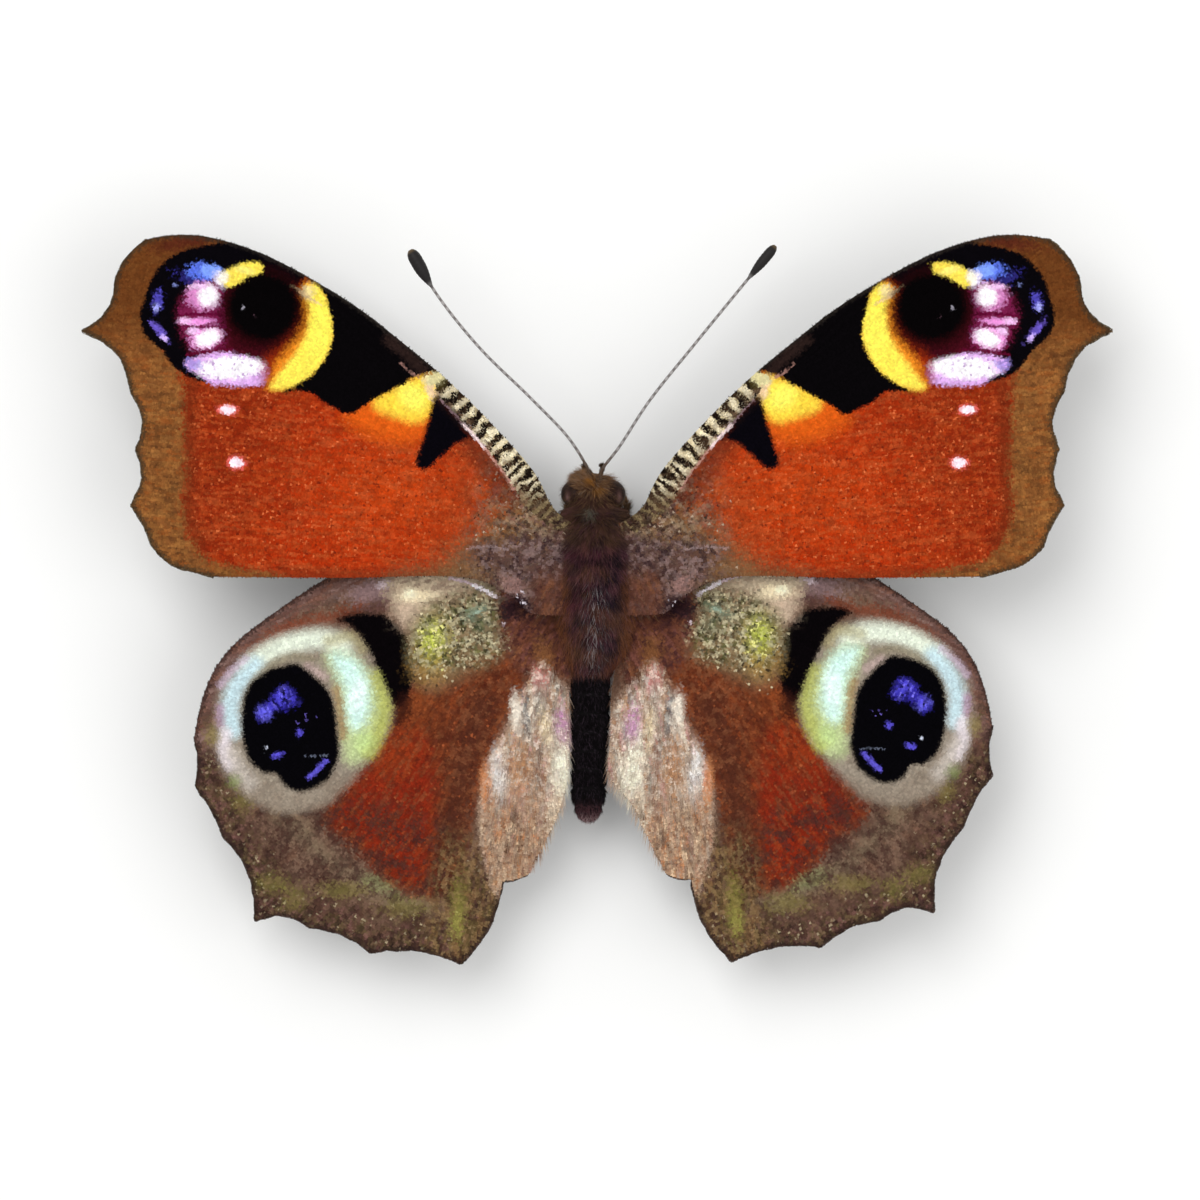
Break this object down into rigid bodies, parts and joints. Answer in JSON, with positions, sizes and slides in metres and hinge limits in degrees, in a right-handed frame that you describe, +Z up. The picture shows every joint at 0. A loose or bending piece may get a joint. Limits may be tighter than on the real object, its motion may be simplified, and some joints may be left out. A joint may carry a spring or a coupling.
{
  "type": "peacock butterfly",
  "caption": "Life-size peacock butterfly with spread wings, eyespots, furred body and clubbed antennae, standing on its legs for display.",
  "frame": {"origin": "centre of the bounding box, at the floor that the four walking legs stand on", "axes": "+X towards the butterfly's right wing tip, +Y towards its head, +Z up"},
  "size_m": [0.06, 0.0426, 0.0084],
  "materials": {
    "body": "dense dark brown fur, orange brown on the head and along the sides",
    "abdomen": "short black fur, purple brown at the tip",
    "eye": "dark brown compound eye of fine facets, softly glossy",
    "feeler": "dark antennae ringed with pale scales, with black clubs, and a brown coiled tongue",
    "leg": "brown scaled legs with fine spines",
    "forewing": "matt scales: orange red with yellow, black and violet markings above, nearly black below",
    "hindwing": "matt scales: red brown and grey brown with a blue eyespot above, nearly black below"
  },
  "bodies": {
    "root": {"thorax": "body", "abdomen": "abdomen", "head": "body", "proboscis": "feeler", "eye_left": "eye", "palp_left": "body", "antenna_left": "feeler", "leg_fore_left": "leg", "leg_mid_left": "leg", "leg_hind_left": "leg", "forewing_left": "forewing", "hindwing_left": "hindwing", "eye_right": "eye", "palp_right": "body", "antenna_right": "feeler", "leg_fore_right": "leg", "leg_mid_right": "leg", "leg_hind_right": "leg", "forewing_right": "forewing", "hindwing_right": "hindwing"}
  },
  "joints": []
}
